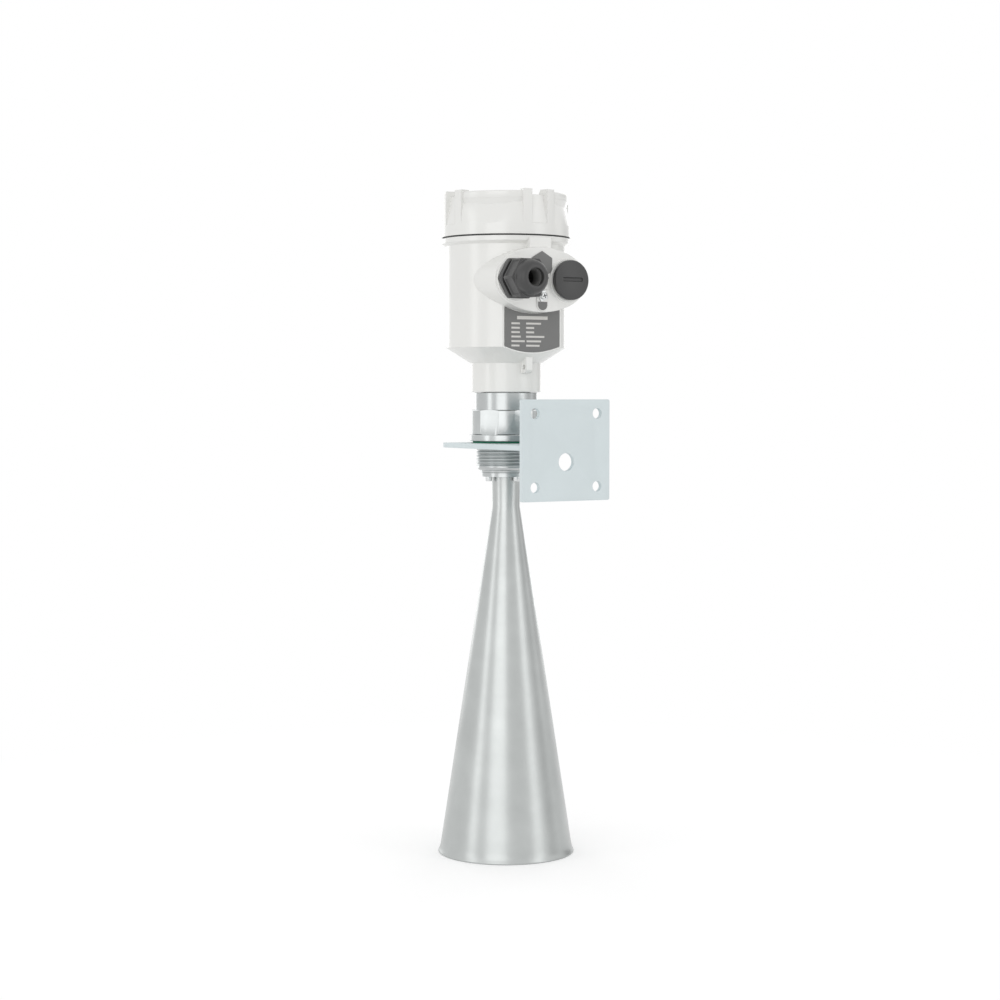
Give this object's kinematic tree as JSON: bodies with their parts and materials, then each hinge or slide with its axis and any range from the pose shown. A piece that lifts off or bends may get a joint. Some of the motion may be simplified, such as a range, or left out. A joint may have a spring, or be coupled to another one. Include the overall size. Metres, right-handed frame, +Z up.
{
  "type": "radar level transmitter",
  "caption": "Radar level sensor with a long conical horn antenna, hexagonal process fitting on a T wall bracket, and a swivelling screw-lid housing with cable gland and plug.",
  "frame": {"origin": "centre of the four wall holes, on the outer face of the wall plate", "axes": "-Y points out of the wall plate's face, towards the wall; +Z is up, along the sensor's axis and away from the horn's mouth; X runs across the wall plate"},
  "size_m": [0.083, 0.1095, 0.4002],
  "materials": {
    "bracket_steel": "satin pale zinc grey",
    "weld": "ground weld, satin",
    "gasket_green": "dark green fibre, matt",
    "polished_steel": "turned and polished",
    "horn_steel": "satin spun steel",
    "bright_screw": "bright",
    "brass": "satin",
    "ptfe": "waxy white",
    "white_coat": "fine orange-peel powder coat",
    "dark_plastic": "fine satin",
    "label_grey": "printed film, satin",
    "black_rubber": "matt",
    "board_green": "solder mask"
  },
  "bodies": {
    "bracket": {"wall_plate": "bracket_steel", "bracket_leg": "bracket_steel", "bracket_weld": "weld", "gasket": "gasket_green", "process_fitting": "polished_steel", "swivel_stem": "polished_steel", "swivel_retainer": "bright_screw", "microwave_module": "brass", "waveguide_liner": "brass", "feed_cone": "ptfe", "antenna_seal": "black_rubber", "antenna_flange": "polished_steel", "flange_screws": "bright_screw", "horn": "horn_steel"},
    "head": {"housing": "white_coat", "name_plate": "label_grey", "badge": "label_grey", "ground_label": "label_grey", "electronics_cup": "dark_plastic", "electronics_board": "board_green", "terminal_block": "dark_plastic", "terminal_screws": "bright_screw", "signal_cable": "black_rubber", "gland_body": "dark_plastic", "gland_washer": "black_rubber", "ground_clamp": "bright_screw", "ground_screw": "bright_screw"},
    "lid_seal": {"lid_seal": "black_rubber"},
    "lid": {"lid": "white_coat"},
    "gland_seal": {"gland_seal": "black_rubber"},
    "gland_nut": {"gland_nut": "dark_plastic"},
    "plug_washer": {"plug_washer": "black_rubber"},
    "blanking_plug": {"blanking_plug": "dark_plastic"}
  },
  "joints": [
    {"name": "housing_swivel", "type": "hinge", "parent": "bracket", "child": "head", "pos_m": [0, 0.068, 0.038], "axis": [0, 0, 1], "range_deg": [-165, 165]},
    {"name": "lid_lift", "type": "slide", "parent": "head", "child": "lid_seal", "axis": [0, 0, 1], "range_m": [0, 0.0076]},
    {"name": "lid_turn", "type": "hinge", "parent": "lid_seal", "child": "lid", "pos_m": [0, 0.068, 0.14], "axis": [0, 0, 1], "range_deg": [0, 1800]},
    {"name": "gland_nut_travel", "type": "slide", "parent": "head", "child": "gland_seal", "axis": [0, -1, 0], "range_m": [0, 0.0046]},
    {"name": "gland_nut_turn", "type": "hinge", "parent": "gland_seal", "child": "gland_nut", "pos_m": [-0.0182, 0.012, 0.09985], "axis": [0, -1, 0], "range_deg": [0, 1080]},
    {"name": "plug_travel", "type": "slide", "parent": "head", "child": "plug_washer", "axis": [0, -1, 0], "range_m": [0, 0.0061]},
    {"name": "plug_turn", "type": "hinge", "parent": "plug_washer", "child": "blanking_plug", "pos_m": [0.0182, 0.024, 0.09985], "axis": [0, -1, 0], "range_deg": [0, 1440]}
  ],
  "couplings": [
    {"joint": "lid_lift", "follows": "lid_turn", "m_per_rad": 0.00023873},
    {"joint": "gland_nut_travel", "follows": "gland_nut_turn", "m_per_rad": 0.00023873},
    {"joint": "plug_travel", "follows": "plug_turn", "m_per_rad": 0.00023873}
  ]
}
